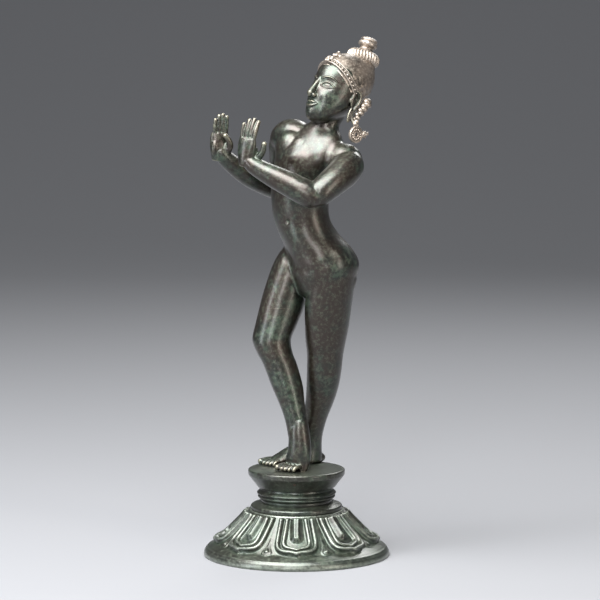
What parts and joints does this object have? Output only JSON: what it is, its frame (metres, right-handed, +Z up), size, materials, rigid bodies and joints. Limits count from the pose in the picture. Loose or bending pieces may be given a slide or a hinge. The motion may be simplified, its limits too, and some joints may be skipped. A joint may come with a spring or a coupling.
{
  "type": "standing figure statue on lotus pedestal",
  "caption": "Cast metal statue of a standing flute player with crossed legs and raised hands, on a stepped round lotus pedestal.",
  "frame": {"origin": "middle of the pedestal's underside, on the axis of the round lotus base", "axes": "+Z up; the front petal faces -Y; +X is to the right when the front petal is looked at"},
  "size_m": [0.187, 0.187, 0.5193],
  "materials": {
    "figure_metal": "dark patinated cast bronze, rubbed smooth",
    "crown_metal": "patinated cast bronze, rubbed lighter on the high points",
    "pedestal_metal": "dark patinated cast bronze with pale green in the recesses",
    "fixing_metal": "dull dark iron"
  },
  "bodies": {
    "root": {"lotus_base": "pedestal_metal", "base_collar": "pedestal_metal", "pedestal_drum": "pedestal_metal", "ring_moulding": "pedestal_metal", "foot_dish": "pedestal_metal", "tie_rod": "fixing_metal", "tie_rod_washer": "fixing_metal", "tie_rod_nut": "fixing_metal", "left_leg": "figure_metal", "right_leg": "figure_metal", "foot_tenon_pins": "fixing_metal", "torso": "figure_metal", "left_arm": "figure_metal", "right_arm": "figure_metal", "joint_pins": "fixing_metal", "head": "figure_metal", "hair_cap": "crown_metal", "diadem": "crown_metal", "diadem_bud": "crown_metal", "crown_ring": "crown_metal", "crown_finial": "crown_metal", "left_ear_pendant": "crown_metal", "right_ear_pendant": "crown_metal", "side_curls": "crown_metal"}
  },
  "joints": []
}
